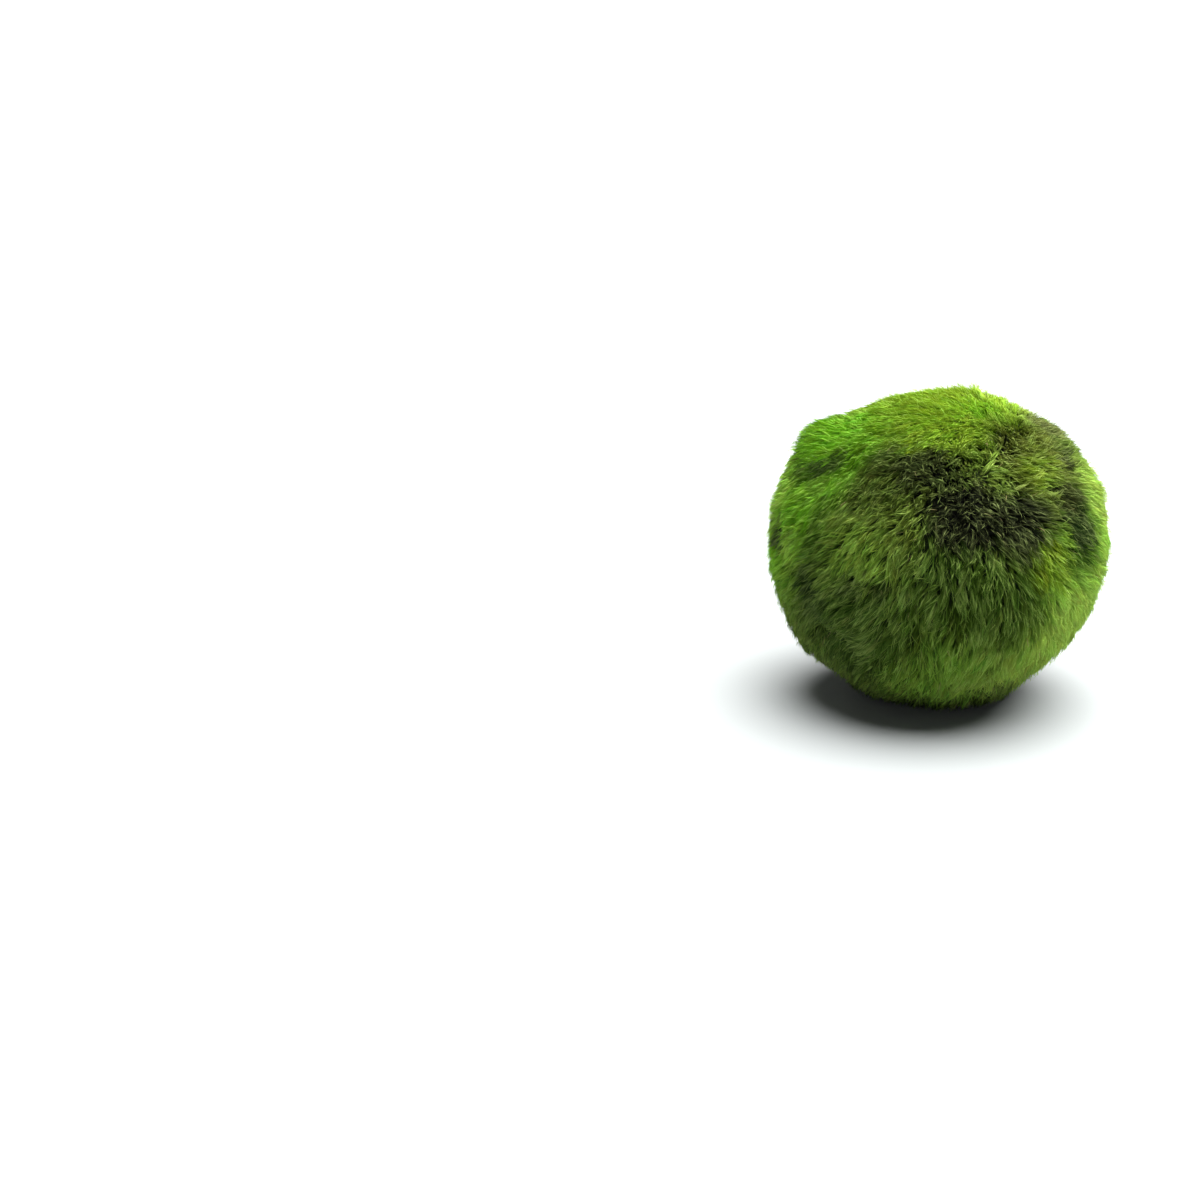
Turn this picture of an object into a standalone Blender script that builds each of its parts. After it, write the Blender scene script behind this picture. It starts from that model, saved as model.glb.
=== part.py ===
"""A marimo moss ball at its real size, standing on the small flat that its own weight has pressed.

The ball is one solid that reaches to the tips of its filaments. Its form is an ellipsoid with
named swells and flats, a relief of tufts combed away from a whorl, and a flat foot.
Units are metres and +Z is up. The ball's front faces -Y, and the origin is the middle of the
box round it, at the height of the foot.
"""

import math

import bmesh
import bpy
from mathutils import Vector, noise

# The ellipsoid is measured over the filaments, before the foot is pressed flat.
WIDTH = 0.0486
DEPTH = 0.0478
HEIGHT = 0.0468
FOOT_DIAMETER = 0.0190

# Swells and flats of the ball as (azimuth, elevation, spread, rise). The angles are in degrees:
# azimuth 0 is the front and 90 the right, and spread is where a swell has sunk to a third.
# Rise is in metres, and a flat or a hollow has a negative one.
SWELLS = {
    "left shoulder": (-100, 37, 12, 0.0024),
    "left flank": (-92, 10, 30, 0.0014),
    "left lower flank": (-80, -32, 20, 0.0007),
    "hollow in the left flank": (-78, 8, 7, -0.0012),
    "ledge under the left shoulder": (-64, 31, 10, -0.0014),
    "left fold's top": (-47, 38, 9, -0.0010),
    "left fold": (-42, 8, 9, -0.0013),
    "left fold's foot": (-47, -26, 10, -0.0009),
    "right shoulder": (100, 47, 11, 0.0006),
    "right brow": (98, 24, 14, 0.0005),
    "right flank": (88, 2, 14, 0.0001),
    "hollow round the whorl": (18, 22, 14, -0.0006),
    "fold in the right flank": (66, 18, 8, -0.0010),
    "fold under the right shoulder": (73, 34, 7, -0.0008),
    "right lower flank": (83, -14, 13, -0.0014),
    "lower right flat": (71, -44, 15, -0.0017),
    "upper right flat": (128, 56, 14, -0.0005),
    "crown": (150, 68, 14, 0.0005),
    "crown's left slope": (-122, 62, 14, 0.0001),
    "brow above the whorl": (4, 50, 16, 0.0012),
    "front chest": (-4, -14, 28, 0.0008),
    "back right flat": (146, 6, 26, -0.0009),
    "back swell": (-168, 20, 28, 0.0009),
    "back left fold": (-138, 4, 10, -0.0009),
    "back left flank": (-122, -22, 22, 0.0005),
    "back lower flat": (172, -40, 20, -0.0008),
}
# Between the named swells the surface rolls a little: rolls to a radius, and their height.
ROLLS = 4.0
ROLL_RISE = 0.0004

# The whorl that the filaments are combed away from, right of the middle of the front.
WHORL_AZIMUTH, WHORL_ELEVATION = 17, 26

# Tufts: how many lie along a radian, round the whorl and away from it.
TUFTS_ROUND = 5.2
TUFTS_ALONG = 3.5
# How far a tuft's middle stands over the groove round it, how much more its far end stands, how
# wide the groove is as a share of a tuft, and the share of the rise that lies under the surface.
TUFT_RISE = 0.0013
TUFT_OVERHANG = 1.0
TUFT_GROOVE = 0.9
TUFT_SINK = 0.6
# The height over which the tufts' relief grows from nothing on the pressed foot.
FOOT_FADE = 0.0025

# The solid's faces: an icosphere's triangles, whose edges are each cut this many times.
ICOSPHERE_LEVELS = 2
EDGE_CUTS = 10

MOSS_GREEN = (0.118, 0.195, 0.026, 1.0)
MOSS_ROUGHNESS = 0.85


def toward(azimuth, elevation):
    """The unit direction at these angles, in degrees."""
    turn, lift = math.radians(azimuth), math.radians(elevation)
    return Vector(
        (
            math.sin(turn) * math.cos(lift),
            -math.cos(turn) * math.cos(lift),
            math.sin(lift),
        )
    )


WHORL = toward(WHORL_AZIMUTH, WHORL_ELEVATION)
WHORL_SIDE = WHORL.cross(Vector((0, 0, 1))).normalized()
WHORL_TOP = WHORL_SIDE.cross(WHORL)
SWELL_SHAPES = [
    (toward(azimuth, elevation), math.radians(spread), rise)
    for azimuth, elevation, spread, rise in SWELLS.values()
]
# How far below the ellipsoid's middle it is as wide as the foot.
FOOT_DEPTH = HEIGHT / 2 * math.sqrt(1 - (FOOT_DIAMETER / WIDTH) ** 2)


def ellipsoid_reach(direction):
    """How far the plain ellipsoid reaches in this direction."""
    x, y, z = direction
    return 1 / math.sqrt((2 * x / WIDTH) ** 2 + (2 * y / DEPTH) ** 2 + (2 * z / HEIGHT) ** 2)


def swell(direction):
    """The sum of the named swells, each a bell over the angle from its middle, and the rolls."""
    rise = sum(
        height * math.exp(-((direction.angle(middle) / spread) ** 2))
        for middle, spread, height in SWELL_SHAPES
    )
    return rise + 2 * ROLL_RISE * noise.noise(direction * ROLLS)


def tuft(direction):
    """The relief of the tufts: cells drawn out along the lines that fan out from the whorl.

    A cell is lowest on its edges and rises towards the end that its filaments point to, so that
    it overhangs the next. The relief fades on the foot.
    """
    place = Vector(
        (
            TUFTS_ROUND * direction.dot(WHORL_SIDE),
            TUFTS_ROUND * direction.dot(WHORL_TOP),
            TUFTS_ALONG * direction.angle(WHORL),
        )
    )
    (nearest, second, *_), (middle, *_) = noise.voronoi(place)
    inside = min(1.0, (second - nearest) / TUFT_GROOVE)
    overhang = TUFT_OVERHANG * (place.z - middle.z)
    return TUFT_RISE * (inside * (1 + overhang) - TUFT_SINK) * above_foot(direction)


def above_foot(direction):
    """Rises from 0 on the pressed foot to 1 a little above its rim."""
    height = ellipsoid_reach(direction) * direction.z + FOOT_DEPTH
    return min(1.0, max(0.0, height / FOOT_FADE))


def reach(direction):
    """How far the ball reaches from its middle in this direction."""
    return ellipsoid_reach(direction) + swell(direction) + tuft(direction)


def press_foot(mesh):
    """Cuts the ball off below the foot and closes the cut with one flat face."""
    cut = bmesh.ops.bisect_plane(
        mesh,
        geom=[*mesh.verts, *mesh.edges, *mesh.faces],
        plane_co=(0, 0, -FOOT_DEPTH),
        plane_no=(0, 0, -1),
        clear_outer=True,
    )
    rim = [item for item in cut["geom_cut"] if isinstance(item, bmesh.types.BMEdge)]
    bmesh.ops.contextual_create(mesh, geom=rim)
    bmesh.ops.recalc_face_normals(mesh, faces=mesh.faces)


def set_over_origin(mesh):
    """Moves the mesh so that the origin is the middle of its box, at the bottom."""
    xs, ys, zs = zip(*(vertex.co for vertex in mesh.verts))
    middle = Vector(((min(xs) + max(xs)) / 2, (min(ys) + max(ys)) / 2, min(zs)))
    bmesh.ops.translate(mesh, verts=mesh.verts, vec=-middle)


def ball_mesh():
    """The ball's closed mesh, pressed flat at the foot and set over the origin."""
    mesh = bmesh.new()
    bmesh.ops.create_icosphere(mesh, subdivisions=ICOSPHERE_LEVELS, radius=1)
    bmesh.ops.subdivide_edges(mesh, edges=mesh.edges, cuts=EDGE_CUTS, use_grid_fill=True)
    for vertex in mesh.verts:
        direction = vertex.co.normalized()
        vertex.co = direction * reach(direction)
    press_foot(mesh)
    set_over_origin(mesh)
    data = bpy.data.meshes.new("moss_ball")
    mesh.to_mesh(data)
    mesh.free()
    return data


def moss_material():
    """Matt wet moss, in the middle green of the ball."""
    material = bpy.data.materials.new("moss")
    material.use_nodes = True
    surface = material.node_tree.nodes["Principled BSDF"]
    surface.inputs["Base Color"].default_value = MOSS_GREEN
    surface.inputs["Roughness"].default_value = MOSS_ROUGHNESS
    surface.inputs["Metallic"].default_value = 0.0
    return material


def build():
    """Clears the scene and makes the ball in a collection of its own."""
    for old in list(bpy.data.objects):
        bpy.data.objects.remove(old)
    parts = bpy.data.collections.new("marimo_moss_ball")
    bpy.context.scene.collection.children.link(parts)
    ball = bpy.data.objects.new("moss_ball", ball_mesh())
    parts.objects.link(ball)
    ball.data.materials.append(moss_material())
    ball.data.shade_smooth()


build()
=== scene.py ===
"""A marimo moss ball: a felted body under a combed pile of fine algae filaments.

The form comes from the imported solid, whose surface the tips of the filaments reach. The pile is
grown in tufts. A tuft is a bundle of filaments that rise from the felt side by side and run
together towards one tip, which leans the way that the pile is combed where the tuft grows.
"""

import math

import bpy
import numpy as np
from bpy.props import FloatProperty, FloatVectorProperty, IntProperty, PointerProperty
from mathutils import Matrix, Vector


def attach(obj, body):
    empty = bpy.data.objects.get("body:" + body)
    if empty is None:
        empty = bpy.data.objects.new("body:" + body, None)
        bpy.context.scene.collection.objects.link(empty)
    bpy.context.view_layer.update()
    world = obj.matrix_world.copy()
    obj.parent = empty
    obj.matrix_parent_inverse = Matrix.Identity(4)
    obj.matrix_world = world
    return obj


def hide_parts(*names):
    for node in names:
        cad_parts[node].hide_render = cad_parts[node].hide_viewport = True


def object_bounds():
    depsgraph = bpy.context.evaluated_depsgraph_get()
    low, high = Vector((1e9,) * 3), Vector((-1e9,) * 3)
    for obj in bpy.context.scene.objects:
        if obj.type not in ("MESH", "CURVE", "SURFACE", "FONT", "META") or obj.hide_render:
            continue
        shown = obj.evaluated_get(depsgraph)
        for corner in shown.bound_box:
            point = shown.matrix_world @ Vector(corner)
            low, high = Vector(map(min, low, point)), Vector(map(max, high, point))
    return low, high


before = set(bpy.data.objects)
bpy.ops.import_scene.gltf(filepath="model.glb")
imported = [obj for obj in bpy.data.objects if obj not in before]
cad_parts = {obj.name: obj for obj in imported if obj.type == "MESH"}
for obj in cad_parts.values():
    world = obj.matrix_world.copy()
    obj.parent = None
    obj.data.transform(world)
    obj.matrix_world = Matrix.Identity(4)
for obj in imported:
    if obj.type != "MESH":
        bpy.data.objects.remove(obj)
SOLID_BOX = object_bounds()

bl_info = {
    "name": "Marimo moss ball",
    "version": (1, 0, 0),
    "blender": (4, 5, 0),
    "location": "View3D > Sidebar > Moss Ball",
    "description": "A felted ball of algae with a combed pile of fine filaments",
    "category": "Add Mesh",
}

MIDDLE = np.array((SOLID_BOX[0] + SOLID_BOX[1]) / 2)
BALL_RADIUS = (SOLID_BOX[1].x - SOLID_BOX[0].x) / 2
GOLDEN_ANGLE = math.pi * (3 - math.sqrt(5))

# Places on the ball are given as (azimuth, elevation, radius) in degrees. Azimuth 0 is the
# front and 90 the right, and elevation 90 is the top.
# Whorls that part the filaments, and how hard they push them away.
WHORLS = {
    "under the crown's edge": (20, 43, 13),
    "back": (-168, -4, 44),
}
WHORL_PUSH = 1.2
# Which way the pile is combed, as (azimuth, elevation, radius, angle). The angle is from
# straight down, and a positive one turns to the right as seen from outside.
COMBINGS = {
    "over the crown": (0, 80, 32, -72),
    "over the crown's right": (112, 48, 20, 30),
    "crown's front edge": (4, 56, 16, -34),
    "crown's left edge": (-38, 58, 16, 10),
    "crown's right front": (48, 66, 15, -76),
    "down the left shoulder": (-68, 44, 22, -40),
    "left flank": (-78, 10, 28, -20),
    "upper left front": (-28, 32, 22, 2),
    "left front": (-30, 4, 20, -82),
    "lower left front": (-36, -26, 26, -54),
    "dark patch's left": (-8, 28, 14, -40),
    "dark patch": (14, 18, 16, 10),
    "dark patch's right": (38, 22, 14, 50),
    "yellow patch": (42, 4, 14, 38),
    "below the dark patch": (6, -14, 18, -26),
    "lower right front": (46, -22, 24, 5),
    "right shoulder": (58, 42, 18, 72),
    "right flank": (80, 10, 24, 42),
    "down the back": (180, 44, 40, -10),
    "back right": (130, 0, 34, 30),
    "back left": (-128, 4, 30, -24),
    "under the back": (-170, -46, 34, 12),
}
# How hard the filaments' own weight pulls them down, next to a combing's 1.
OWN_WEIGHT = 0.25
# Ripples that turn the combing, as (radians, waves to a radian, seed).
TURN_RIPPLES = ((0.35, 1.3, 11), (0.3, 3.4, 12))
# Where the filaments stand up instead, as (azimuth, elevation, radius, how upright).
UPRIGHT_PLACES = {
    "dark patch": (16, 28, 20, 0.6),
    "under the crown's edge": (6, 44, 12, 0.6),
    "right shoulder": (50, 38, 17, 0.25),
    "parting right of the crown": (86, 63, 13, 0.8),
    "front end of the parting": (56, 54, 9, 0.5),
    "back whorl": (-168, -4, 18, 1.0),
}
# Where the pile lies close and even.
CALM_PLACES = {
    "crown": (0, 74, 34),
    "left shoulder": (-72, 46, 16),
    "right rim": (88, 18, 28),
    "right shoulder": (70, 54, 16),
    "right lower front": (58, -22, 24),
    "back left": (-150, 50, 30),
}

# Colour patches, laid over each other in this order, as (azimuth, elevation, radius in degrees,
# how much of the colour under it a patch hides, palette colour).
PATCHES = {
    "left side": (-84, 20, 36, 1, "leaf_green"),
    "right side": (70, -14, 34, 1, "leaf_green"),
    "lower middle of the front": (4, -4, 24, 0.95, "moss_shade"),
    "lower left": (-34, -22, 22, 0.95, "shade_green"),
    # Partly painted shade at the foot of the left fold.
    "left fold's foot": (-48, -12, 8, 0.5, "deep_green"),
    "lower front": (6, -40, 20, 0.9, "spring_green"),
    "right lower front": (56, -21, 20, 0.95, "lime"),
    "lower right foot": (37, -40, 12, 0.8, "lime"),
    "lower front's right": (26, -8, 13, 0.75, "shade_green"),
    "under the dark patch": (5, 1, 14, 0.7, "shade_green"),
    "olive at the foot": (18, -36, 8, 0.5, "olive"),
    "front left": (-24, 22, 18, 0.95, "olive"),
    "front left's lower half": (-30, 10, 12, 0.9, "pale_olive"),
    "upper front": (0, 44, 16, 0.95, "dull_olive"),
    "upper left front": (-28, 40, 12, 0.95, "dull_olive"),
    "right shoulder": (54, 45, 20, 0.97, "gold_olive"),
    "above the dark patch": (24, 43, 9, 0.8, "olive"),
    "crown": (-175, 80, 33, 1, "crown_green"),
    "crown's front": (0, 66, 16, 1, "crown_green"),
    "left shoulder": (-66, 50, 19, 0.9, "leaf_green"),
    "crown's left": (-50, 67, 12, 0.6, "crown_green"),
    # Partly a painted glow along the left rim.
    "left rim": (-94, 16, 14, 0.6, "lime"),
    "lobe under the left shoulder": (-65, 28, 7, 0.7, "spring_green"),
    # The left fold and the ledge under the left shoulder are partly painted shade in their
    # creases.
    "left fold's top": (-52, 22, 5.5, 0.4, "deep_green"),
    "left fold": (-51, 13, 5.5, 0.4, "deep_green"),
    "left fold's middle": (-50, 5, 5.5, 0.4, "deep_green"),
    "left fold's bottom": (-52, -4, 6, 0.85, "deep_green"),
    "ledge's front end": (-62, 40, 5.5, 0.85, "deep_green"),
    "ledge under the left shoulder": (-71, 34, 5.5, 0.95, "deep_green"),
    "ledge's back end": (-80, 28, 4, 0.7, "deep_green"),
    "ring round the hollow": (-66, 3, 8, 0.6, "lime"),
    # Painted shade in the hollow in the left flank and under the front left.
    "hollow in the left flank": (-77, 4, 5.5, 1, "hollow_green"),
    "under the front left": (-31, -3, 4.5, 0.6, "hollow_green"),
    "under the front left's end": (-20, -1, 4.5, 0.65, "hollow_green"),
    "yellow patch": (44, 6, 9, 1, "gold_green"),
    "yellow patch on the right shoulder": (51, 36, 10, 0.5, "gold_green"),
    "crown's dark spot": (58, 74, 6, 0.5, "leaf_green"),
    # Partly a painted glow along the right rim and its foot.
    "right rim": (88, 20, 14, 1, "lime"),
    "right rim's foot": (76, -4, 13, 0.8, "lime"),
    "silver edge": (94, 51, 9, 0.9, "silver_brown"),
    "brown spot by the rim": (75, 38, 6, 0.85, "rust_brown"),
    "brown end of the right shoulder": (58, 25, 9, 0.9, "rust_brown"),
    "dark spot under the crown's left": (-26, 46, 7, 0.35, "charcoal"),
    "dark upper front": (-7, 45, 9, 0.75, "charcoal"),
    "dark patch": (11, 26, 14, 1, "charcoal"),
    "dark patch's right": (32, 22, 12, 0.97, "charcoal"),
    # The right fold and its foot are partly painted shade in the crease.
    "right fold": (63, 15, 9, 1, "deep_green"),
    "right fold's foot": (58, 6, 7, 0.6, "deep_green"),
    "brown patch at the foot": (38, -45, 7, 0.6, "rust_brown"),
    "back olive": (178, 4, 30, 0.75, "olive"),
    "back dark patch": (-150, -12, 15, 0.8, "charcoal"),
    # The back fold is partly painted shade in its crease.
    "back fold": (-136, 4, 9, 0.7, "deep_green"),
    "back right": (132, 8, 24, 0.7, "leaf_green"),
    "back brown": (156, 34, 12, 0.55, "rust_brown"),
    # Partly a painted glow along the back rim.
    "back lime rim": (-112, 26, 14, 0.6, "lime"),
    "foot": (0, -90, 34, 0.7, "deep_green"),
}
# What each colour is for, and how it shows on a screen, from 0 to 255.
PALETTE = {
    "base": ("Where no patch lies", (128, 158, 62)),
    "crown_green": ("Sunlit yellow green of the top", (167, 202, 46)),
    "leaf_green": ("Fresh green of the flanks", (151, 216, 36)),
    "spring_green": ("Light green of the foot", (160, 206, 80)),
    # Along the rims, lime is partly the moss's own colour and partly a painted glow of light
    # through the thin pile.
    "lime": ("Palest green, along the rims", (199, 229, 112)),
    "olive": ("Dull green of the front", (150, 178, 74)),
    "pale_olive": ("Lit tufts of the front", (170, 208, 84)),
    "dull_olive": ("Darker green under the crown", (112, 133, 50)),
    "gold_olive": ("Browned green of a shoulder", (94, 106, 8)),
    "moss_shade": ("Dark green of the lower front", (110, 147, 46)),
    "shade_green": ("Browned dark green", (79, 116, 21)),
    # In the folds and under the ledge, deep_green is partly painted shade, where the creases lie
    # in shade.
    "deep_green": ("Darkest living green, in the folds", (36, 68, 11)),
    "gold_green": ("Yellowed patches on the right", (162, 197, 43)),
    # hollow_green is painted shade, for the deepest hollows and under the front left.
    "hollow_green": ("Deepest hollows", (30, 56, 8)),
    "charcoal": ("Grey of the dark patch", (46, 50, 38)),
    "silver_brown": ("Faded filaments", (107, 111, 65)),
    "rust_brown": ("Browned filaments", (48, 53, 19)),
    # root_shade is painted shade: it darkens the roots of the filaments, deep in the pile.
    "root_shade": ("Tints the roots of the filaments", (118, 122, 70)),
    "pale_tip": ("Greyed tips of the palest filaments", (170, 186, 112)),
    "dead_straw": ("Dead filaments", (186, 170, 120)),
    "green_cast": ("Tints the greenest tufts", (226, 255, 214)),
    "brown_cast": ("Tints the brownest tufts", (255, 240, 214)),
}
# How sharply a patch's share falls at its edge, and how far the edge wanders, as a share of the
# ball's radius.
PATCH_GAIN, PATCH_CUT = 2.4, 0.4
EDGE_WANDER = 0.24
# Noises, as (waves to a metre, detail): two for the edges, one for greener and browner places
# and how sharp they are, and one for the felt and how light it is.
COARSE_EDGE, FINE_EDGE = (170, 2), (620, 3)
CAST_NOISE, CAST_GAIN, CAST_CUT = (900, 1), 2, 0.5
FELT_NOISE, FELT_SHADE = (1400, 4), 0.3
# How fast the painted shade at a filament's root fades upwards, how grey the palest tips are,
# and the share of the light that passes through.
ROOT_FALL, PALE_TIP, GLOW = 1.3, 0.5, 0.42
# How light the darkest filaments are, and how much lighter the palest are.
DARKEST, TINT_RANGE = 0.5, 1.18

# How far the solid's relief is smoothed, in degrees, where the pile's tips, the loose hairs and
# the felt follow it.
TIPS_BLUR, HAIRS_BLUR, FELT_BLUR = 1.7, 3.0, 6.0
# How high over the floor they stay, in metres.
FELT_CLEARANCE = 0.0004
ROOT_CLEARANCE, SHOULDER_CLEARANCE, TIP_CLEARANCE = 0.0005, 0.00012, 0.00008
# Where a filament lies on its cell of the map, as shares of the cell.
CELL_ROOT, CELL_TIP = 0.04, 0.96
CELL_LEFT, CELL_MIDDLE, CELL_RIGHT = 0.06, 0.5, 0.94
# How many sines a ripple is the mean of, and what brings that mean to about 1.
RIPPLE_SINES, RIPPLE_GAIN = 8, 2.2
# The two kinds of filaments: where their rings lie along them, the rings' widths and the
# filaments' lengths as shares of the usual ones, how much paler they are, and their seed.
FINE_KIND = dict(steps=(0.52,), widths=(1.0,), lengthened=1.0, paler=-0.05, seed=41)
LONG_KIND = dict(steps=(0.38, 0.74), widths=(1.55, 1.2), lengthened=1.1, paler=0.32, seed=42)


def linear(red, green, blue):
    """Scene linear values of a colour given as it shows on a screen, from 0 to 255."""
    shown = np.array((red, green, blue)) / 255
    return tuple(np.where(shown > 0.04045, ((shown + 0.055) / 1.055) ** 2.4, shown / 12.92))


def colour_property(name, description, shown):
    """A colour that can be picked, whose default is given as it shows on a screen."""
    return FloatVectorProperty(
        name=name.replace("_", " ").capitalize(),
        description=description,
        subtype="COLOR",
        size=3,
        min=0,
        max=1,
        default=linear(*shown),
    )


def length_property(name, description, default):
    """A length in metres."""
    return FloatProperty(
        name=name, description=description, default=default, min=0, unit="LENGTH", precision=5
    )


class PileSizes(bpy.types.PropertyGroup):
    """Sizes of the felted body and of the filaments of the pile."""

    pile_depth: length_property(
        "Pile depth", "How far under the tips of the filaments the felt lies", 0.0021
    )
    tufts: IntProperty(
        name="Tufts", description="Number of tufts on the whole ball", default=7400, min=100
    )
    fine_filaments: IntProperty(
        name="Fine filaments", description="Short filaments in a tuft", default=14, min=1
    )
    long_filaments: IntProperty(
        name="Long filaments", description="Long filaments in a tuft", default=2, min=1
    )
    filament_width: length_property(
        "Filament width", "Width of a filament at its widest", 0.00014
    )
    lean: length_property(
        "Lean", "How far along the surface a combed filament's tip lies from its root", 0.0030
    )
    bend: length_property("Bend", "How far to the side tufts are bent, in the mean", 0.0004)
    tuft_length: length_property("Tuft length", "Length of the felt under a tuft", 0.0026)
    tuft_width: length_property("Tuft width", "Width of the felt under a tuft", 0.0017)
    tip_width: length_property("Tip width", "Width of a tuft at its tip", 0.00032)
    loose_hairs: IntProperty(
        name="Loose hairs",
        description="Single hairs that stand out of the pile",
        default=12000,
        min=0,
    )


class MossColours(bpy.types.PropertyGroup):
    """The greens and browns of the living and the faded filaments."""

    __annotations__ = {name: colour_property(name, *use) for name, use in PALETTE.items()}


class StudioSizes(bpy.types.PropertyGroup):
    """The camera, the floor and the lights."""

    camera_distance: length_property(
        "Camera distance", "From the lens to the middle of the ball", 0.412
    )
    camera_elevation: FloatProperty(
        name="Camera elevation",
        description="Height of the camera's line of sight to the ball",
        default=math.radians(18),
        unit="ROTATION",
    )
    floor_radius: length_property("Floor radius", "Radius of the round floor", 3.0)
    overhead_strength: FloatProperty(
        name="Overhead strength", description="Of the overhead light", default=13.5, min=0
    )
    surround_strength: FloatProperty(
        name="Surround strength", description="Of the dim surround", default=0.1, min=0
    )
    horizon_strength: FloatProperty(
        name="Horizon strength", description="Of the band round the floor", default=1.2
    )


def unit(vectors):
    """The vectors at length one."""
    return vectors / np.maximum(np.linalg.norm(vectors, axis=-1, keepdims=True), 1e-12)


def toward(azimuth, elevation):
    """The unit direction of a place on the ball, at an azimuth and an elevation in degrees:
    (sin azimuth cos elevation, -cos azimuth cos elevation, sin elevation)."""
    turn, lift = math.radians(azimuth), math.radians(elevation)
    flat = math.cos(lift)
    return np.array((math.sin(turn) * flat, -math.cos(turn) * flat, math.sin(lift)))


def at_angles(turn, rise):
    """Unit directions (cos turn cos rise, sin turn cos rise, sin rise), from radians."""
    flat = np.cos(rise)
    away = np.broadcast_arrays(np.cos(turn) * flat, np.sin(turn) * flat, np.sin(rise))
    return np.stack(away, -1)


def spread_directions(count, jitter, random):
    """Directions spread evenly over a sphere.

    Their heights are count equal steps from top to bottom while each turns on by the golden
    angle, and each is then moved by a random share of the distance between neighbours.
    """
    steps = (np.arange(count) + 0.5) / count
    height = 1 - 2 * steps
    turn = np.arange(count) * GOLDEN_ANGLE
    ring = np.sqrt(1 - height**2)
    even = np.stack((ring * np.cos(turn), ring * np.sin(turn), height), -1)
    spacing = math.sqrt(4 * math.pi / count)
    return unit(even + random.normal(size=(count, 3)) * jitter * spacing)


def ripple(directions, waves, seed):
    """A smooth pattern from about -1 to 1: the mean of sines along random directions, each with
    about the given number of waves to a radian."""
    random = np.random.default_rng(seed)
    ways = unit(random.normal(size=(RIPPLE_SINES, 3)))
    along = ways * waves * random.uniform(0.7, 1.4, (RIPPLE_SINES, 1))
    phase = random.uniform(0, 2 * math.pi, RIPPLE_SINES)
    return np.sin(directions @ along.T * 2 * math.pi + phase).mean(-1) * RIPPLE_GAIN


def rippled(directions, ripples):
    """The sum of ripples, each given as (height, waves to a radian, seed)."""
    return sum(height * ripple(directions, waves, seed) for height, waves, seed in ripples)


class Form:
    """How far the solid reaches from the ball's middle in every direction.

    The reach is kept on a grid of latitude and longitude. At each point it is the mean reach of
    the solid's corners, weighted by exp(k (c - 1)), where c is the cosine of the angle from the
    point to the corner and k is 1 over the squared blur angle.
    """

    ROWS, COLUMNS = 180, 360
    # The normals' short steps, in radians, and a slanting vector that they start square to.
    STEP, ASIDE_OF = 0.03, (0.31, 0.17, 0.93)

    def __init__(self, node, blur):
        corners = np.empty(len(node.data.vertices) * 3, np.float32)
        node.data.vertices.foreach_get("co", corners)
        spokes = np.unique(corners.reshape(-1, 3).round(7), axis=0) - MIDDLE
        lengths = np.linalg.norm(spokes, axis=1)
        spokes = (spokes / lengths[:, None]).astype(np.float32)
        latitude = np.linspace(-math.pi / 2, math.pi / 2, self.ROWS + 1)
        longitude = np.linspace(-math.pi, math.pi, self.COLUMNS + 1)
        self.grid = np.empty((self.ROWS + 1, self.COLUMNS + 1))
        for row, rise in enumerate(latitude):
            points = at_angles(longitude, rise).astype(np.float32)
            weight = np.exp((points @ spokes.T - 1) / math.radians(blur) ** 2)
            self.grid[row] = weight @ lengths / weight.sum(1)

    def reach(self, directions):
        """The reach in these directions, in proportion between the points of the grid."""
        rise = np.arcsin(np.clip(directions[..., 2], -1, 1)) / math.pi + 0.5
        turn = np.arctan2(directions[..., 1], directions[..., 0]) / (2 * math.pi) + 0.5
        down, across = rise * self.ROWS, turn * self.COLUMNS
        row = np.clip(down.astype(int), 0, self.ROWS - 1)
        column = np.clip(across.astype(int), 0, self.COLUMNS - 1)
        down, across = down - row, across - column
        low = self.grid[row, column] * (1 - across) + self.grid[row, column + 1] * across
        row += 1
        high = self.grid[row, column] * (1 - across) + self.grid[row, column + 1] * across
        return low * (1 - down) + high * down

    def surface(self, directions, depth, clearance):
        """Points this deep under the surface, and no lower than the clearance."""
        points = MIDDLE + directions * (self.reach(directions) - depth)[..., None]
        points[..., 2] = np.maximum(points[..., 2], clearance)
        return points

    def outward(self, directions):
        """Unit normals: the cross product of two short steps along the surface."""
        aside = unit(np.cross(directions, self.ASIDE_OF))
        across = np.cross(directions, aside)

        def slope(way):
            ahead = unit(directions + way * self.STEP)
            behind = unit(directions - way * self.STEP)
            return ahead * self.reach(ahead)[..., None] - behind * self.reach(behind)[..., None]

        return unit(np.cross(slope(aside), slope(across)))


def along_surface(vectors, normals):
    """The part of the vectors that runs along the surface: each less its part along the
    normal."""
    return vectors - (vectors * normals).sum(-1, keepdims=True) * normals


def turned(flow, normals, turn):
    """The flow turned about the normals: cos turn times it, and sin turn times its side."""
    side = np.cross(normals, flow)
    return flow * np.cos(turn)[:, None] + side * np.sin(turn)[:, None]


def nearness(directions, azimuth, elevation, radius):
    """A bell over the angle from a place: exp(-(angle / radius)^2)."""
    angle = np.degrees(np.arccos(np.clip(directions @ toward(azimuth, elevation), -1, 1)))
    return np.exp(-((angle / radius) ** 2))


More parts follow.
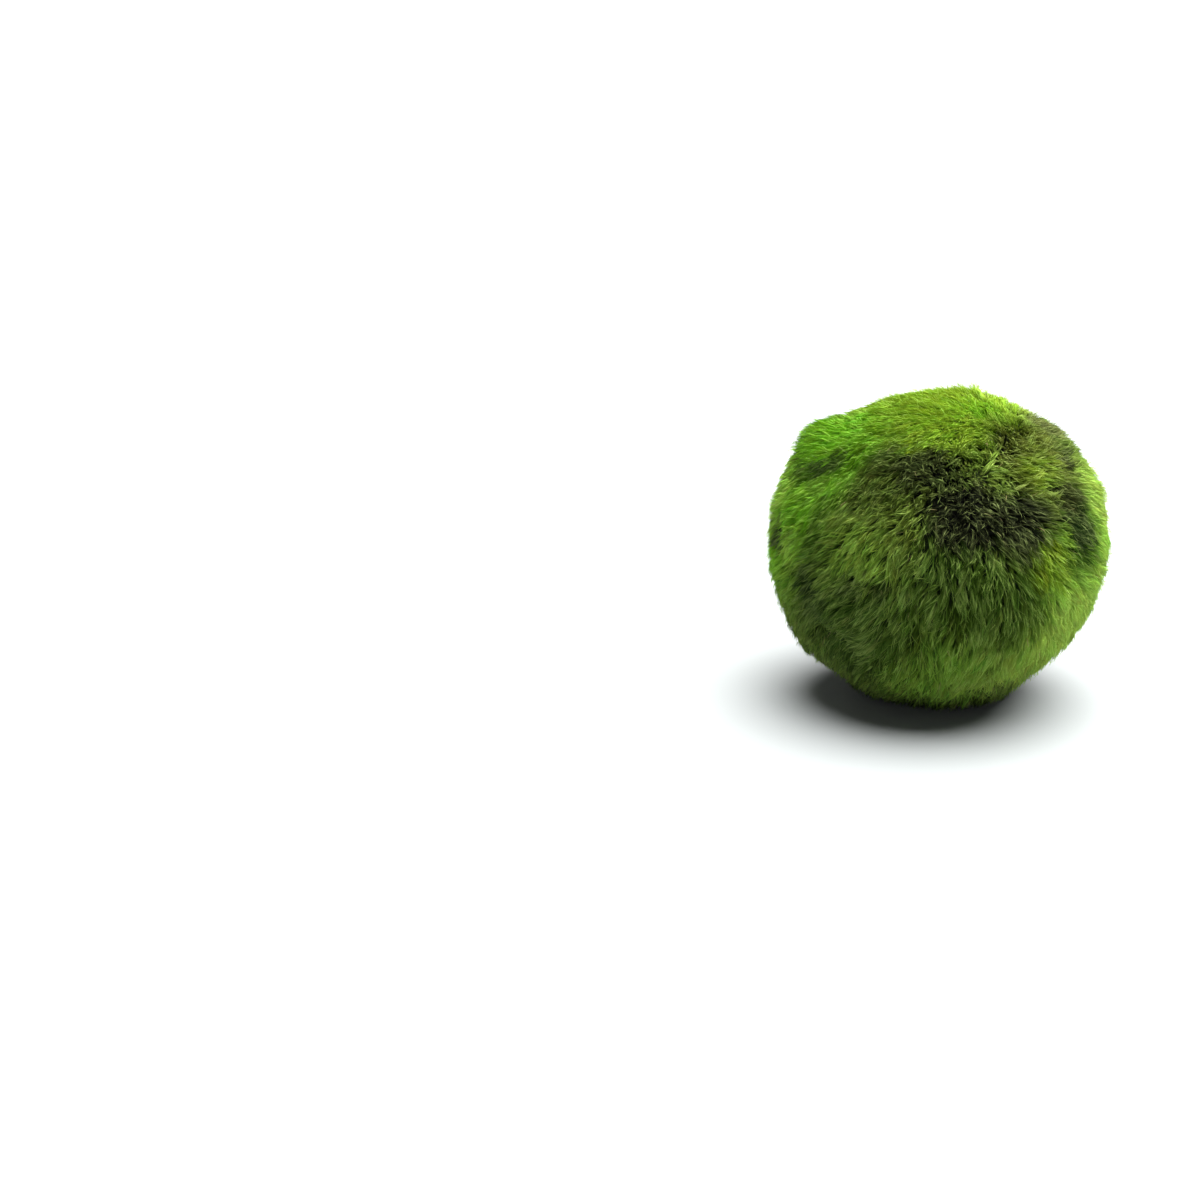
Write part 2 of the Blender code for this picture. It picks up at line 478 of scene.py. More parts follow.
def combing(directions, normals):
    """Which way the filaments lean, and how combed they are from 0, upright, to 1.

    The way is the sum of the filaments' own weight, the named combings and a push away from
    each whorl, each with its bell. Ripples then turn it a little.
    """
    flow = along_surface(np.array((0, 0, -OWN_WEIGHT)), normals)
    for azimuth, elevation, radius, angle in COMBINGS.values():
        turn = math.radians(angle)
        down = -toward(azimuth, elevation + 90)
        right = toward(azimuth + 90, 0)
        way = along_surface(down * math.cos(turn) + right * math.sin(turn), normals)
        flow = flow + way * nearness(directions, azimuth, elevation, radius)[:, None]
    for azimuth, elevation, radius in WHORLS.values():
        away = unit(along_surface(directions - toward(azimuth, elevation), normals))
        bell = nearness(directions, azimuth, elevation, radius)
        flow = flow + away * WHORL_PUSH * bell[:, None]
    combed = np.ones(len(directions))
    for azimuth, elevation, radius, upright in UPRIGHT_PLACES.values():
        combed *= 1 - upright * nearness(directions, azimuth, elevation, radius)
    flow = unit(flow)
    return turned(flow, normals, rippled(directions, TURN_RIPPLES)), combed


def calmness(directions):
    """How close and even the pile lies, from 0 to 1: the highest bell of the calm places."""
    places = [nearness(directions, *place) for place in CALM_PLACES.values()]
    return np.max(places, axis=0)


def curved(root, shoulder, tip, steps):
    """Points along the curve (1-t)^2 root + 2t(1-t) shoulder + t^2 tip at each step t."""
    t = np.array(steps)[None, :, None]
    return (
        (1 - t) ** 2 * root[:, None] + 2 * t * (1 - t) * shoulder[:, None] + t**2 * tip[:, None]
    )


def fading(random, count, share, extent):
    """How faded filaments are: 0 for most, and for a share of them a number in this range."""
    return (random.uniform(0, 1, count) > 1 - share) * random.uniform(*extent, count)


def filament_pattern(rings):
    """One filament's faces: its corner numbers, and where each corner lies on its map cell.

    Corner 0 is the root, then come the rings of three, and the last corner is the tip. The
    three sides share one strip of the cell, which runs up from the root to the tip.
    """
    tip = 1 + 3 * rings
    heights = np.linspace(CELL_ROOT, CELL_TIP, rings + 2)

    def at(ring, *across):
        return [(place, heights[ring]) for place in across]

    faces, places = [], []
    for side in range(3):
        after = (side + 1) % 3
        faces.append((0, 1 + after, 1 + side))
        places += at(0, CELL_MIDDLE) + at(1, CELL_RIGHT, CELL_LEFT)
        for ring in range(1, rings):
            low, high = 3 * ring - 2, 3 * ring + 1
            faces.append((low + side, low + after, high + after, high + side))
            places += at(ring, CELL_LEFT, CELL_RIGHT) + at(ring + 1, CELL_RIGHT, CELL_LEFT)
        last = 3 * rings - 2
        faces.append((last + side, last + after, tip))
        places += at(rings, CELL_LEFT, CELL_RIGHT) + at(rings + 1, CELL_MIDDLE)
    return faces, np.array(places)


class Filaments:
    """Closed filaments with the same number of rings, kept as whole arrays.

    paths are their centre lines, as (filament, point, xyz) from root to tip, and widths are as
    (filament, ring). homes are the places that they take their colour from, as (filament, xyz).
    The others are one number for each filament, from 0 to 1: its tint, how faded it is, and how
    much of the painted shade at its root is lifted.
    """

    def __init__(self, paths, widths, homes, tints, faded, root_shade_lift):
        self.paths, self.widths, self.homes = paths, widths, homes
        self.tints, self.faded, self.root_shade_lift = tints, faded, root_shade_lift

    def chosen(self, which):
        """Only these filaments."""
        return Filaments(*(values[which] for values in vars(self).values()))

    def corners(self):
        """Corners of all filaments: at each ring centre + width / 2 (cos a side + sin a other)
        for three turns a, where side and other stand square to the path."""
        heading = unit(self.paths[:, 2:] - self.paths[:, :-2])
        outward = unit(self.paths[:, 1:-1] - MIDDLE)
        side = unit(np.cross(heading, outward))
        other = np.cross(heading, side)
        turns = np.arange(3) * 2 * math.pi / 3
        spoke = (
            side[:, :, None] * np.cos(turns)[None, None, :, None]
            + other[:, :, None] * np.sin(turns)[None, None, :, None]
        )
        rings = self.paths[:, 1:-1, None] + spoke * self.widths[:, :, None, None] / 2
        rings = rings.reshape(len(self.paths), -1, 3)
        return np.concatenate((self.paths[:, :1], rings, self.paths[:, -1:]), 1)


def filament_mesh(name, groups):
    """A mesh of groups of filaments, with how far along each corner lies, the filament's home,
    its tint, how faded it is, and a map on which each filament has a cell of its own."""
    count = sum(len(group.paths) for group in groups)
    cells = math.ceil(math.sqrt(count))
    parts = []
    first_corner, first_cell = 0, 0
    for group in groups:
        filaments, rings = group.widths.shape
        each = 2 + 3 * rings
        faces, on_cell = filament_pattern(rings)
        numbers = np.concatenate([np.array(face) for face in faces])
        starts = first_corner + np.arange(filaments) * each
        cell = first_cell + np.arange(filaments)
        origin = np.stack((cell % cells, cell // cells), -1)
        steps = np.repeat(np.linspace(0, 1, rings + 2), [1] + [3] * rings + [1])
        parts.append(
            (
                group.corners().reshape(-1, 3),
                np.tile([len(face) for face in faces], filaments),
                (starts[:, None] + numbers[None]).ravel(),
                ((origin[:, None] + on_cell[None]) / cells).reshape(-1, 2),
                (1 - (1 - steps) * (1 - group.root_shade_lift[:, None])).ravel(),
                np.repeat(group.homes, each, axis=0),
                np.repeat(group.tints, each),
                np.repeat(group.faded, each),
            )
        )
        first_corner += filaments * each
        first_cell += filaments
    *shape, along, home, tint, faded = (np.concatenate(part) for part in zip(*parts))
    values = {"along": along, "home": home, "tint": tint, "faded": faded}
    return surface_mesh(name, *shape, values)


def surface_mesh(name, corners, face_sizes, face_corners, places=None, values=None):
    """A smooth mesh from arrays of corners and faces, with a map, and with numbers or vectors
    by name at its corners."""
    mesh = bpy.data.meshes.new(name)
    mesh.vertices.add(len(corners))
    mesh.vertices.foreach_set("co", np.asarray(corners, np.float32).ravel())
    mesh.loops.add(len(face_corners))
    mesh.loops.foreach_set("vertex_index", np.asarray(face_corners, np.int32))
    mesh.polygons.add(len(face_sizes))
    starts = np.cumsum(face_sizes) - face_sizes
    mesh.polygons.foreach_set("loop_start", np.asarray(starts, np.int32))
    mesh.update(calc_edges=True)
    if places is not None:
        layer = mesh.uv_layers.new(name="OFBake")
        layer.uv.foreach_set("vector", np.asarray(places, np.float32).ravel())
    for value, numbers in (values or {}).items():
        kind, field = ("FLOAT", "value") if numbers.ndim == 1 else ("FLOAT_VECTOR", "vector")
        attribute = mesh.attributes.new(value, kind, "POINT")
        attribute.data.foreach_set(field, np.asarray(numbers, np.float32).ravel())
    mesh.shade_smooth()
    mesh.validate()
    return mesh


def add_piece(mesh, material):
    """An object of this mesh that rides with the ball and takes its finish."""
    piece = bpy.data.objects.new(mesh.name, mesh)
    bpy.context.scene.collection.objects.link(piece)
    mesh.materials.append(material)
    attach(piece, "root")
    return piece


class Value:
    """A number from a shader socket. Each operator adds the Math node that works it out."""

    def __init__(self, shader, socket):
        self.shader, self.socket = shader, socket

    def math(self, operation, *others, clamped=False):
        """The result of a Math node on this number and others."""
        settings = {"operation": operation, "use_clamp": clamped}
        sockets = dict(enumerate((self, *others)))
        return self.shader.node("ShaderNodeMath", settings, sockets)

    def __add__(self, other):
        return self.math("ADD", other)

    def __sub__(self, other):
        return self.math("SUBTRACT", other)

    def __rsub__(self, other):
        settings = {"operation": "SUBTRACT"}
        return self.shader.node("ShaderNodeMath", settings, {0: other, 1: self})

    def __mul__(self, other):
        return self.math("MULTIPLY", other)

    def __pow__(self, other):
        return self.math("POWER", other)

    __radd__, __rmul__ = __add__, __mul__

    def clamped(self):
        """This number, no less than 0 and no more than 1."""
        return self.math("ADD", 0.0, clamped=True)


class Shader:
    """The node tree of a new material or world, and the few ways in which nodes are added."""

    def __init__(self, owner):
        self.owner = owner
        owner.use_nodes = True
        self.tree = owner.node_tree
        self.tree.nodes.clear()

    def node(self, kind, settings=None, sockets=None, output=0):
        """A node of this type: first its settings, then the values or links of its sockets."""
        node = self.tree.nodes.new(kind)
        for setting, value in (settings or {}).items():
            setattr(node, setting, value)
        for socket, value in (sockets or {}).items():
            if isinstance(value, Value):
                self.tree.links.new(value.socket, node.inputs[socket])
            else:
                node.inputs[socket].default_value = value
        return Value(self, node.outputs[output]) if node.outputs else None

    def attribute(self, name, output="Fac"):
        """A number, or as the Vector output a vector, that the mesh holds at its corners."""
        return self.node("ShaderNodeAttribute", {"attribute_name": name}, output=output)

    def mixed(self, share, first, second, blend="MIX"):
        """Two colours mixed, with this share of the second."""
        settings = {"data_type": "RGBA", "blend_type": blend}
        return self.node("ShaderNodeMix", settings, {0: share, 6: first, 7: second}, output=2)

    def vector(self, operation, *inputs, output=0):
        """The result of a Vector Math node."""
        settings = {"operation": operation}
        return self.node("ShaderNodeVectorMath", settings, dict(enumerate(inputs)), output)

    def scaled(self, vector, scale):
        """A vector or colour times a number."""
        settings = {"operation": "SCALE"}
        return self.node("ShaderNodeVectorMath", settings, {0: vector, "Scale": scale})

    def noise(self, place, scale, detail, output=0):
        """Blender's noise, which lies about 0.5, at this many waves to a metre."""
        sockets = {"Vector": place, "Scale": scale, "Detail": detail}
        return self.node("ShaderNodeTexNoise", None, sockets, output)

    def finish(self, surface, kind="ShaderNodeOutputMaterial"):
        """Ends the tree at the surface and returns its material or world."""
        self.node(kind, None, {"Surface": surface})
        return self.owner


def patched_colour(shader, place, colours):
    """The colour patches of the moss, laid over each other with ragged edges.

    With c the cosine of the angle from a patch's middle, its share is PATCH_GAIN c^k -
    PATCH_CUT, kept from 0 to 1, where the power k is 2 over the squared radius. Noise moves the
    place by up to a few millimetres first, which makes the edges ragged, and then tints the
    colour a little greener or browner. The patches in the folds and under the ledge are partly
    painted shade, those in the hollows are painted shade, and those along the rims are partly a
    painted glow.
    """
    out = shader.vector("SUBTRACT", place, tuple(MIDDLE))
    coarse = shader.noise(place, *COARSE_EDGE, output="Color")
    fine = shader.noise(place, *FINE_EDGE, output="Color")
    wander = shader.vector("SUBTRACT", shader.vector("ADD", coarse, fine), (1.0,) * 3)
    wander = shader.scaled(wander, BALL_RADIUS * EDGE_WANDER)
    away = shader.vector("NORMALIZE", shader.vector("ADD", out, wander))
    colour = (*colours.base, 1)
    for azimuth, elevation, radius, share, name in PATCHES.values():
        power = 2 / math.radians(radius) ** 2
        cosine = shader.vector("DOT_PRODUCT", away, tuple(toward(azimuth, elevation)), output=1)
        hidden = (cosine.clamped() ** power * PATCH_GAIN - PATCH_CUT).clamped() * share
        colour = shader.mixed(hidden, colour, (*getattr(colours, name), 1))
    browned = (shader.noise(place, *CAST_NOISE) * CAST_GAIN - CAST_CUT).clamped()
    cast = shader.mixed(browned, (*colours.green_cast, 1), (*colours.brown_cast, 1))
    return shader.mixed(1.0, colour, cast, blend="MULTIPLY")


def pile_material(colours):
    """Fine wet filaments: dark at the root, full at the middle and pale at the tip.

    All of a tuft takes its colour from the tuft's home, so patches end in whole tufts. The dark
    at the root is painted shade of the deep pile. Light passes through the filaments, so the
    pile glows where it is thin along its rims.
    """
    shader = Shader(bpy.data.materials.new("moss_pile"))
    along, tint = shader.attribute("along"), shader.attribute("tint")
    colour = patched_colour(shader, shader.attribute("home", "Vector"), colours)
    # Painted shade at the roots, fading towards the tips.
    rooted = shader.mixed(along ** ROOT_FALL, (*colours.root_shade, 1), (1, 1, 1, 1))
    shaded = shader.mixed(1.0, colour, rooted, blend="MULTIPLY")
    paled = shader.mixed(along * tint * tint * PALE_TIP, shaded, (*colours.pale_tip, 1))
    paled = shader.scaled(paled, DARKEST + tint * TINT_RANGE)
    straw = shader.mixed(shader.attribute("faded"), paled, (*colours.dead_straw, 1))
    fibre = shader.node(
        "ShaderNodeBsdfPrincipled",
        None,
        {"Base Color": straw, "Roughness": 0.6, "Specular IOR Level": 0.08},
    )
    glow = shader.node("ShaderNodeBsdfTranslucent", None, {"Color": straw})
    return shader.finish(shader.node("ShaderNodeMixShader", None, {0: GLOW, 1: fibre, 2: glow}))


def felt_material(colours):
    """The matted body under the pile, in the darkest of the same colours."""
    shader = Shader(bpy.data.materials.new("moss_felt"))
    place = shader.node("ShaderNodeTexCoord", output="Object")
    colour = patched_colour(shader, place, colours)
    strands = shader.noise(place, *FELT_NOISE)
    dark = shader.scaled(colour, strands * FELT_SHADE)
    felt = shader.node(
        "ShaderNodeBsdfPrincipled", None, {"Base Color": dark, "Roughness": 0.9}
    )
    return shader.finish(felt)


class MOSS_OT_felt(bpy.types.Operator):
    """Make the felted body that the pile grows from"""

    bl_idname = "moss.felt"
    bl_label = "Felted body"

    ROWS, COLUMNS = 72, 144
    # The felt's lumps, as (height in metres, waves to a radian, seed).
    LUMPS = (0.00035, 3.2, 5)

    def execute(self, context):
        sizes = context.scene.moss_pile
        form = Form(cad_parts["moss_ball"], FELT_BLUR)
        # A grid of turn and rise. In each of its directions the felt lies under the solid's
        # surface by the pile's depth and a ripple.
        rows, columns = self.ROWS, self.COLUMNS
        rise = np.linspace(-math.pi / 2, math.pi / 2, rows + 1)[1:-1, None]
        turn = np.linspace(0, 2 * math.pi, columns, endpoint=False)[None]
        rings = at_angles(turn, rise).reshape(-1, 3)
        directions = np.concatenate(([[0.0, 0, -1]], rings, [[0.0, 0, 1]]))
        depth = sizes.pile_depth + rippled(directions, [self.LUMPS])
        corners = form.surface(directions, depth, FELT_CLEARANCE)
        square = 1 + np.arange((rows - 1) * columns).reshape(rows - 1, columns)
        after = np.roll(square, -1, axis=1)
        quads = np.stack((square[:-1], after[:-1], after[1:], square[1:]), -1).reshape(-1, 4)
        bottom, top = np.zeros(columns, int), np.full(columns, len(directions) - 1)
        under = np.stack((bottom, after[0], square[0]), -1)
        over = np.stack((top, square[-1], after[-1]), -1)
        numbers = np.concatenate((under.ravel(), quads.ravel(), over.ravel()))
        face_sizes = np.concatenate(([3] * columns, [4] * len(quads), [3] * columns))
        mesh = surface_mesh("felt_body", corners, face_sizes, numbers)
        body = add_piece(mesh, felt_material(context.scene.moss_colours))
        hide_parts("moss_ball")
        return {"FINISHED"}


class Tufts:
    """The tufts of the pile: where each one grows, which way it leans and how far it reaches.

    Names that start with CALM are how much a value changes where the pile is calm.
    """

    SEED = 7
    # How far tufts stray from even spacing, as a share of it.
    JITTER = 0.22
    # How far combed tufts turn off their way, in radians, and how much further upright ones do.
    STRAY, UPRIGHT_STRAY = 0.16, 0.9
    # The shares of the lean that upright tufts have, and that combed ones have on top.
    UPRIGHT_LEAN, COMBED_LEAN = 0.18, 0.82
    LEAN_RANGE = (0.75, 1.2)
    # Locks of tufts lean alike: the ripple that tells them apart, the lean of the shortest, and
    # how much further the longest lean.
    LOCKS = (0.5, 2.2, 21)
    LOCK_LEAN, LOCK_LEAN_RANGE = 0.85, 0.3
    CALM_LEAN, CALM_EVENNESS, CALM_TONE = 0.4, 0.6, 0.75
    # How far tufts reach past the solid, in metres, and how much that differs.
    REACH, REACH_SPREAD = 0.0001, 0.00022
    # How pale tufts are, how much that differs, and the ripples in it.
    TONE, TONE_SPREAD = 0.45, 0.2
    MOTTLE = ((0.2, 4.2, 31), (0.08, 1.6, 32))

    # The lengths of a tuft's filaments, as shares of its own, and how much further past the
    # solid the long ones reach, in metres.
    LENGTH_RANGE = (0.72, 1.1)
    LENGTH_REACH = 0.0005
    # How much of its root's place in the tuft a filament's tip keeps.
    KEEPS_AHEAD, KEEPS_ASIDE, CALM_KEEPS_ASIDE = 0.45, 0.16, 0.5
    ROOT_DEPTH = 0.0003
    # How high a shoulder rises, as shares of the pile's depth, how far ahead it lies, as a
    # share of the lean, and how far aside it strays, in metres.
    RISE_RANGE, CALM_RISE = (0.8, 1.15), 0.12
    SHOULDER_AHEAD, SHOULDER_STRAY = 0.22, 0.00014
    WIDTH_RANGE, CALM_WIDTH = (0.75, 1.2), 0.2
    TINT_SPREAD = 0.12
    FADED_SHARE, FADED_RANGE = 0.003, (0.2, 0.6)
    # How much of the painted shade at the roots is lifted where the pile is calm.
    CALM_ROOT_SHADE_LIFT = 0.75

    def __init__(self, sizes):
        random = np.random.default_rng(self.SEED)
        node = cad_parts["moss_ball"]
        self.tips_form, self.felt_form = Form(node, TIPS_BLUR), Form(node, FELT_BLUR)
        self.directions = spread_directions(sizes.tufts, self.JITTER, random)
        self.normals = self.felt_form.outward(self.directions)
        self.calm = calmness(self.directions)
        flow, combed = combing(self.directions, self.normals)
        turn = random.normal(0, self.STRAY + self.UPRIGHT_STRAY * (1 - combed))
        self.flow = turned(flow, self.normals, turn)
        self.side = np.cross(self.normals, self.flow)
        locks = 0.5 + rippled(self.directions, [self.LOCKS])
        self.lean = sizes.lean * (self.UPRIGHT_LEAN + self.COMBED_LEAN * combed)
        self.lean *= random.uniform(*self.LEAN_RANGE, sizes.tufts)
        lock_lean = self.LOCK_LEAN + self.LOCK_LEAN_RANGE * locks
        self.lean *= lock_lean * (1 + self.CALM_LEAN * self.calm)
        uneven = 1 - self.CALM_EVENNESS * self.calm
        self.bend = random.normal(0, sizes.bend, sizes.tufts) * uneven
        self.overshoot = random.normal(0, self.REACH_SPREAD, sizes.tufts) * uneven + self.REACH
        halfway = self.directions + self.flow * self.lean[:, None] / 2 / BALL_RADIUS
        self.homes = MIDDLE + unit(halfway) * BALL_RADIUS
        mottle = rippled(self.directions, self.MOTTLE)
        mottle += random.normal(0, self.TONE_SPREAD, sizes.tufts)
        self.tone = self.TONE + mottle * (1 - self.CALM_TONE * self.calm)

    def filaments(self, sizes, each, steps, widths, lengthened, paler, seed):
        """This many filaments of each tuft, with rings at the steps along them.

        A filament's root is a random place in the tuft's patch of felt. It rises to a shoulder
        over its root and bends over to a tip near the tuft's own.
        """
        random = np.random.default_rng(seed)
        tufts = len(self.directions)
        count = tufts * each
        which = np.repeat(np.arange(tufts), each)
        flow, side, normals = self.flow[which], self.side[which], self.normals[which]
        calm = self.calm[which]
        radius = np.sqrt(random.uniform(0, 1, count))
        turn = random.uniform(0, 2 * math.pi, count)
        ahead = radius * np.cos(turn) * sizes.tuft_length / 2
        aside = radius * np.sin(turn) * sizes.tuft_width / 2
        spot = self.directions[which]
        root_way = unit(spot + (flow * ahead[:, None] + side * aside[:, None]) / BALL_RADIUS)
        length = lengthened * random.uniform(*self.LENGTH_RANGE, count)
        lean = self.lean[which] * length + ahead * self.KEEPS_AHEAD
        tip_aside = random.normal(0, 0.5, count) * sizes.tip_width
        tip_aside += aside * (self.KEEPS_ASIDE + self.CALM_KEEPS_ASIDE * calm)
        tip_way = unit(spot + (flow * lean[:, None] + side * tip_aside[:, None]) / BALL_RADIUS)
        depth = sizes.pile_depth + self.ROOT_DEPTH
        root = self.felt_form.surface(root_way, depth, ROOT_CLEARANCE)
        over = self.overshoot[which] + (length - 1) * self.LENGTH_REACH
        tip = self.tips_form.surface(tip_way, -over, TIP_CLEARANCE)
        rise = sizes.pile_depth * random.uniform(*self.RISE_RANGE, count)
        rise *= 1 + self.CALM_RISE * calm
        stray = self.bend[which] + random.normal(0, self.SHOULDER_STRAY, count)
        shoulder = root + normals * rise[:, None] + flow * (lean * self.SHOULDER_AHEAD)[:, None]
        shoulder += side * stray[:, None]
        shoulder[:, 2] = np.maximum(shoulder[:, 2], SHOULDER_CLEARANCE)
        paths = curved(root, shoulder, tip, (0.0, *steps, 1.0))
        girth = sizes.filament_width * random.uniform(*self.WIDTH_RANGE, count)
        girth = np.array(widths)[None] * (girth * (1 - self.CALM_WIDTH * calm))[:, None]
        evened = 1 - self.CALM_TONE * calm
        tints = self.tone[which] + random.normal(paler, self.TINT_SPREAD, count) * evened
        tints = np.clip(tints, 0, 1)
        faded = fading(random, count, self.FADED_SHARE, self.FADED_RANGE)
        root_shade_lift = self.CALM_ROOT_SHADE_LIFT * calm
        return Filaments(paths, girth, self.homes[which], tints, faded, root_shade_lift)


# The pieces of the pile, and which way each one faces.
SIDES = {
    "front": (0, -1, 0),
    "back": (0, 1, 0),
    "left": (-1, 0, 0),
    "right": (1, 0, 0),
    "crown": (0, 0, 1),
    "under": (0, 0, -1),
}


class MOSS_OT_pile(bpy.types.Operator):
    """Grow the combed pile, as one piece for each side of the ball"""

    bl_idname = "moss.pile"
    bl_label = "Pile"

    def execute(self, context):
        sizes = context.scene.moss_pile
        tufts = Tufts(sizes)
        fine = tufts.filaments(sizes, sizes.fine_filaments, **FINE_KIND)
        long = tufts.filaments(sizes, sizes.long_filaments, **LONG_KIND)
        material = pile_material(context.scene.moss_colours)
        # A tuft belongs to the side that it faces most.
        facing = unit(tufts.directions) @ np.array(list(SIDES.values())).T
        nearest = facing.argmax(1)
        for number, side in enumerate(SIDES):
            groups = [
                group.chosen(np.repeat(nearest == number, each))
                for group, each in ((fine, sizes.fine_filaments), (long, sizes.long_filaments))
            ]
            add_piece(filament_mesh(f"{side}_pile", groups), material)
        return {"FINISHED"}


class MOSS_OT_loose_hairs(bpy.types.Operator):
    """Add the single long hairs that stand out of the pile"""

    bl_idname = "moss.loose_hairs"
    bl_label = "Loose hairs"

    # These values mean what they mean for tufts. The ranges here are in metres.
    SEED, JITTER = 3, 0.6
    ROOT_DEPTH, RISE_RANGE = 0.0014, (0.0010, 0.0019)
    AHEAD_RANGE, ASTRAY, REACH_RANGE = (0.0003, 0.0022), 0.0008, (0, 0.00085)
    ROOT_CLEARANCE, SHOULDER_CLEARANCE, TIP_CLEARANCE = 0.0006, 0.0003, 0.0002
    UPRIGHT_LEAN, COMBED_LEAN = 0.4, 0.6
    # Shares of a hair's length and of the filament width, and shades.
    STEPS, WIDTHS = (0.4, 0.75), (0.6, 0.5)
    WIDTH_RANGE = (0.7, 1.2)
    TINT_RANGE = (0.45, 1)
    FADED_SHARE, FADED_RANGE = 0.015, (0.3, 0.9)
    # How much of the painted shade at the roots of the hairs is lifted.
    ROOT_SHADE_LIFT = 0.3

    def execute(self, context):
        sizes = context.scene.moss_pile
        random = np.random.default_rng(self.SEED)
        count = sizes.loose_hairs
        form = Form(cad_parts["moss_ball"], HAIRS_BLUR)
        directions = spread_directions(count, self.JITTER, random)
        normals = form.outward(directions)
        flow, combed = combing(directions, normals)
        side = np.cross(normals, flow)
        # A hair curves from a root in the pile, by a shoulder over it, to a tip outside.
        astray = random.normal(0, self.ASTRAY, count)
        ahead = random.uniform(*self.AHEAD_RANGE, count)
        ahead *= self.UPRIGHT_LEAN + self.COMBED_LEAN * combed
        over = random.uniform(*self.REACH_RANGE, count)
        root = form.surface(directions, self.ROOT_DEPTH, self.ROOT_CLEARANCE)
        tip_way = unit(
            directions + (flow * ahead[:, None] + side * astray[:, None]) / BALL_RADIUS
        )
        tip = form.surface(tip_way, -over, self.TIP_CLEARANCE)
        shoulder = root + normals * random.uniform(*self.RISE_RANGE, (count, 1))
        shoulder[:, 2] = np.maximum(shoulder[:, 2], self.SHOULDER_CLEARANCE)
        paths = curved(root, shoulder, tip, (0.0, *self.STEPS, 1.0))
        widths = np.array(self.WIDTHS)[None] * random.uniform(*self.WIDTH_RANGE, (count, 1))
        tints = random.uniform(*self.TINT_RANGE, count)
        faded = fading(random, count, self.FADED_SHARE, self.FADED_RANGE)
        widths = widths * sizes.filament_width
        hairs = Filaments(paths, widths, root, tints, faded, np.full(count, self.ROOT_SHADE_LIFT))
        material = bpy.data.materials["moss_pile"]
        add_piece(filament_mesh("loose_hairs", [hairs]), material)
        return {"FINISHED"}


